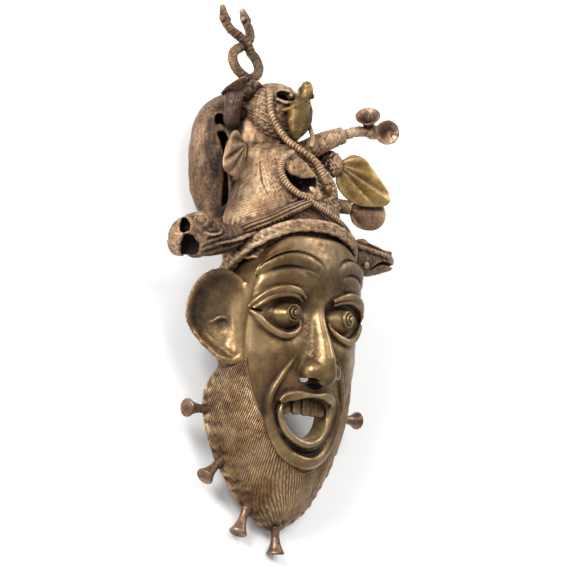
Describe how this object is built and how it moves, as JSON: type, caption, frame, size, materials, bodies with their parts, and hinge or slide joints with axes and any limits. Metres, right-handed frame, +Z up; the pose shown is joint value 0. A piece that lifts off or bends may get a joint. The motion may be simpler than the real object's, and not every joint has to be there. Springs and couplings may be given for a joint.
{
  "type": "face mask",
  "caption": "Hollow cast brass face mask with an open mouth, dished ears, a beard hung with small bells, and a tall headdress of serpents, leaves and cups.",
  "frame": {"origin": "centre of the mask's bounding box at the level of the surface it lies on", "axes": "+Z up out of the face, +Y from the beard to the headdress, +X to the mask's own left; the mask lies on its open back"},
  "size_m": [0.2422, 0.459, 0.1299],
  "materials": {
    "brass": "old brown patina, rubbed bright on the raised places"
  },
  "bodies": {
    "root": {"mask": "brass"}
  },
  "joints": []
}
